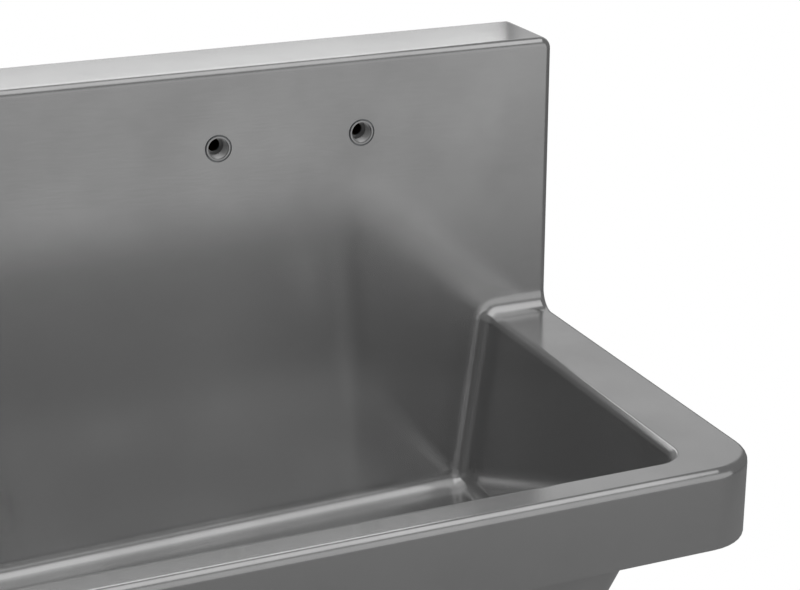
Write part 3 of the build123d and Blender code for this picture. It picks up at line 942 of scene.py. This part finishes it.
FINISHES = {
    # Cold-rolled stainless sheet, dull-polished along its length after welding: it mirrors crisply along
    # the lay and softly across it. Its scratches scatter some light, so it isn't fully metallic. The
    # real lay is far finer, and is drawn as coarse as it needs to show.
    "satin_sheet": Finish(
        name="satin_stainless", colour="cccccc", rough=0.17, rough_swing=0.04, metallic=0.85,
        grain_mm=0.35, grain_stretch=(40.0, 1.0, 1.0), grain_bump=0.05,
        mottle_mm=140.0, shade="b9b9b9", shade_share=0.8, lay=0.9,
    ),
    # Stainless sheet as the cold mill leaves it, folded and not polished: grey, with a dull even sheen
    "mill_sheet": Finish(
        name="mill_stainless", colour="a3a6a8", rough=0.42, rough_swing=0.05, metallic=1.0,
        grain_mm=0.8, grain_stretch=(6.0, 1.0, 1.0), grain_bump=0.12,
        mottle_mm=90.0, shade="8f9294", shade_share=0.5,
    ),
    # Stainless bar turned on a lathe: bright, with fine tool rings that break up its mirror
    "turned_stainless": Finish(
        name="turned_stainless", colour="cfd1d2", rough=0.22, rough_swing=0.04, metallic=1.0,
        grain_mm=0.15, grain_stretch=(1.0, 1.0, 1.0), grain_bump=0.12,
        mottle_mm=20.0, shade="b8babb", shade_share=0.5,
    ),
    # Drawn tube, left as it comes: a warm metal, bright along its length
    "drawn_tube": Finish(
        name="drawn_tube", colour="c2b8a6", rough=0.28, rough_swing=0.05, metallic=1.0,
        grain_mm=0.3, grain_stretch=(1.0, 1.0, 30.0), grain_bump=0.10,
        mottle_mm=60.0, shade="a89c88", shade_share=0.6,
    ),
    # Brass, forged and machined: yellow, with a soft gleam on its flats
    "fitting_brass": Finish(
        name="machined_brass", colour="b99555", rough=0.34, rough_swing=0.06, metallic=1.0,
        grain_mm=0.4, grain_stretch=(1.0, 1.0, 1.0), grain_bump=0.15,
        mottle_mm=25.0, shade="9c7a40", shade_share=0.6,
    ),
    # Moulded rubber: near black and matt
    "black_rubber": Finish(
        name="moulded_rubber", colour="1d1d1e", rough=0.62, rough_swing=0.06, metallic=0.0,
        grain_mm=0.5, grain_stretch=(1.0, 1.0, 1.0), grain_bump=0.25,
        mottle_mm=30.0, shade="2a2a2b", shade_share=0.6,
    ),
    # Heavy bitumen-filled sheet, rolled on: dark, matt and a little rough
    "damping_sheet": Finish(
        name="damping_sheet", colour="33342f", rough=0.78, rough_swing=0.06, metallic=0.0,
        grain_mm=1.6, grain_stretch=(1.0, 1.0, 1.0), grain_bump=0.5,
        mottle_mm=45.0, shade="45463f", shade_share=0.7,
    ),
    # Injection-moulded plastic: off-white with a faint sheen
    "clip_plastic": Finish(
        name="moulded_clip_plastic", colour="e3e3df", rough=0.46, rough_swing=0.04, metallic=0.0,
        grain_mm=0.6, grain_stretch=(1.0, 1.0, 1.0), grain_bump=0.2,
        mottle_mm=30.0, shade="d2d2cc", shade_share=0.6,
    ),
    # Moulded sliding washer: pale and nearly matt
    "washer_plastic": Finish(
        name="washer_plastic", colour="d9dad6", rough=0.5, rough_swing=0.04, metallic=0.0,
        grain_mm=0.6, grain_stretch=(1.0, 1.0, 1.0), grain_bump=0.2,
        mottle_mm=30.0, shade="c6c7c2", shade_share=0.6,
    ),
}


class CadDressing:
    """Materials and smooth shading for the CAD nodes that stay in view."""

    def __init__(self, frame: dict) -> None:
        """Take the nodes and their slots from the loaded frame."""
        self.nodes = frame["nodes"]
        self.slots = {part["node"]: part["material_slot"] for part in frame["record"]["subparts"]}
        self.smoothing = self.smoothing_group()

    @staticmethod
    def smoothing_group() -> bpy.types.NodeTree:
        """Geometry nodes that join loose triangles and shade them smooth up to 30 degrees."""
        tree = bpy.data.node_groups.new("smooth_by_angle", "GeometryNodeTree")
        tree.interface.new_socket("Geometry", in_out="INPUT", socket_type="NodeSocketGeometry")
        tree.interface.new_socket("Geometry", in_out="OUTPUT", socket_type="NodeSocketGeometry")
        source = add_node(tree, "NodeGroupInput")
        merge = add_node(
            tree,
            "GeometryNodeMergeByDistance",
            {"Geometry": source.outputs["Geometry"]},
            Distance=WELD / 2,
        )
        faces = add_node(
            tree, "GeometryNodeSetShadeSmooth", {"Geometry": merge.outputs["Geometry"]}, domain="FACE"
        )
        angle = add_node(tree, "GeometryNodeInputMeshEdgeAngle")
        small = add_node(
            tree, "FunctionNodeCompare", {0: angle.outputs["Unsigned Angle"]}, operation="LESS_THAN"
        )
        small.inputs[1].default_value = math.radians(30)
        edges = add_node(
            tree,
            "GeometryNodeSetShadeSmooth",
            {"Geometry": faces.outputs["Geometry"], "Shade Smooth": small.outputs["Result"]},
            domain="EDGE",
        )
        add_node(tree, "NodeGroupOutput", {"Geometry": edges.outputs["Geometry"]})
        return tree

    def dress(self) -> None:
        """Give every node its slot's finish."""
        for name, node in self.nodes.items():
            slot = self.slots.get(name)
            if slot is None:
                log.warning("node %s has no slot", name)
                continue
            material = FINISHES[slot].material()
            node.data.materials.clear()
            node.data.materials.append(material)
            smoothing = node.modifiers.new("smooth_by_angle", "NODES")
            smoothing.node_group = self.smoothing


@dataclass(frozen=True)
class SoftBox:
    """A soft studio lamp.

    Args:
        name: name of the lamp.
        place: its middle, in metres.
        target: the point it faces.
        width: size along its own X.
        height: size along its own Y.
        power: in watts.
    """

    name: str
    place: tuple
    target: tuple
    width: float
    height: float
    power: float

    def build(self) -> None:
        """Add the lamp."""
        data = bpy.data.lights.new(self.name, "AREA")
        data.shape = "RECTANGLE"
        data.size, data.size_y = self.width, self.height
        data.energy = self.power
        lamp = bpy.data.objects.new(self.name, data)
        bpy.context.scene.collection.objects.link(lamp)
        lamp.location = self.place
        way = Vector(self.target) - Vector(self.place)
        lamp.rotation_mode = "QUATERNION"
        lamp.rotation_quaternion = way.to_track_quat("-Z", "Y")
        lamp.visible_camera = False


@dataclass
class Studio:
    """Floor, world, lamps and the photograph's camera."""

    floor_level: float = -1.118
    floor_size: float = 12.0
    camera_place: tuple = (-0.3290, -1.8545, 0.5179)
    camera_way: tuple = (0.3706, 0.8634, -0.3424)
    lens: float = 88.8
    ambient: float = 0.18
    lamps: tuple = (
        SoftBox("overhead", (0.3, -0.9, 2.2), (0.3, -0.4, -0.2), 3.4, 2.3, 18.0),
        SoftBox("rear_left", (0.14, 0.5, 0.65), (0.14, -0.5, 0.65), 1.4, 0.9, 4.8),
        SoftBox("rear_right", (1.95, 1.2, 0.7), (1.95, 0.0, 0.7), 1.5, 1.4, 2.5),
        SoftBox("front_wide", (1.1, -1.5, 0.0), (1.1, 0.0, 0.0), 2.0, 1.2, 2.8),
        SoftBox("front_right", (1.6, -1.5, 0.1), (1.6, 0.0, 0.1), 1.5, 1.2, 2.0),
        SoftBox("rear_fill", (-0.6, 2.2, 0.2), (-0.2, 0.0, -0.1), 2.0, 1.4, 7.0),
    )

    def build(self) -> None:
        """Set the whole studio up."""
        self.build_floor()
        self.build_world()
        for lamp in self.lamps:
            lamp.build()
        self.build_camera()

    def build_floor(self) -> None:
        """Lay the pale floor."""
        bpy.ops.object.select_all(action="DESELECT")
        bpy.ops.mesh.primitive_plane_add(size=self.floor_size, location=(0, 0, self.floor_level))
        floor = bpy.context.active_object
        floor.name = "studio_floor"
        bpy.ops.object.transform_apply(location=True, rotation=True, scale=True)
        paint = bpy.data.materials.new("studio_floor_paint")
        paint.use_nodes = True
        tree = paint.node_tree
        tree.nodes.clear()
        surface = add_node(tree, "ShaderNodeBsdfDiffuse", Color=linear("c8c8c8"), Roughness=0.8)
        white = add_node(tree, "ShaderNodeEmission", Color=(1, 1, 1, 1), Strength=1.0)
        self.show_white(tree, surface, white)
        floor.data.materials.append(paint)

    def build_world(self) -> None:
        """Show white to the camera and a softer grey to everything else."""
        world = bpy.data.worlds.new("studio_world")
        bpy.context.scene.world = world
        world.use_nodes = True
        tree = world.node_tree
        tree.nodes.clear()
        soft = add_node(tree, "ShaderNodeBackground", Color=(1, 1, 1, 1), Strength=self.ambient)
        white = add_node(tree, "ShaderNodeBackground", Color=(1, 1, 1, 1), Strength=1.0)
        self.show_white(tree, soft, white, "ShaderNodeOutputWorld")

    @staticmethod
    def show_white(
        tree: bpy.types.NodeTree,
        plain: bpy.types.Node,
        white: bpy.types.Node,
        output: str = "ShaderNodeOutputMaterial",
    ) -> None:
        """Give the camera the white shader, and reflections and light the plain one.

        Args:
            tree: the node tree to finish.
            plain: shader that lights the trough.
            white: shader that the camera sees.
            output: type of the output node.
        """
        path = add_node(tree, "ShaderNodeLightPath")
        mix = add_node(tree, "ShaderNodeMixShader", {0: path.outputs["Is Camera Ray"]})
        tree.links.new(plain.outputs[0], mix.inputs[1])
        tree.links.new(white.outputs[0], mix.inputs[2])
        add_node(tree, output, {"Surface": mix.outputs[0]})

    def build_camera(self) -> None:
        """Put the camera where the photograph was taken from."""
        data = bpy.data.cameras.new("photo_camera")
        data.sensor_width = 36.0
        data.lens = self.lens
        camera = bpy.data.objects.new("photo_camera", data)
        bpy.context.scene.collection.objects.link(camera)
        camera.location = self.camera_place
        camera.rotation_mode = "QUATERNION"
        camera.rotation_quaternion = Vector(self.camera_way).to_track_quat("-Z", "Y")
        bpy.context.scene.camera = camera


def show(work: MeshWork, slot: str, node: str) -> None:
    """Finish a new piece: give it its slot's finish, attach it to the root body and hide the CAD node
    that it replaces.

    Args:
        work: the piece, whose object already has its name.
        slot: the record's material slot.
        node: CAD node that it replaces.
    """
    obj = work.obj
    obj.data.name = obj.name
    obj.data.materials.clear()
    obj.data.materials.append(FINISHES[slot].material())
    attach(obj, "root")
    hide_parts(node)
    log.info("%s: %d faces", obj.name, len(obj.data.polygons))


def main() -> None:
    """Build the scene."""
    logging.basicConfig(level=logging.INFO, format="%(message)s")
    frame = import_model()
    bpy.context.scene.view_settings.view_transform = "Standard"
    CadDressing(frame).dress()
    for node, work in WeldedSkin().build().items():
        show(work, "satin_sheet", node)
    for node, x in SkinSizes().inlets.items():
        work = InletSocket(node, x).build()
        show(work, "turned_stainless", node)
    Studio().build()


if __name__ == "__main__":
    main()
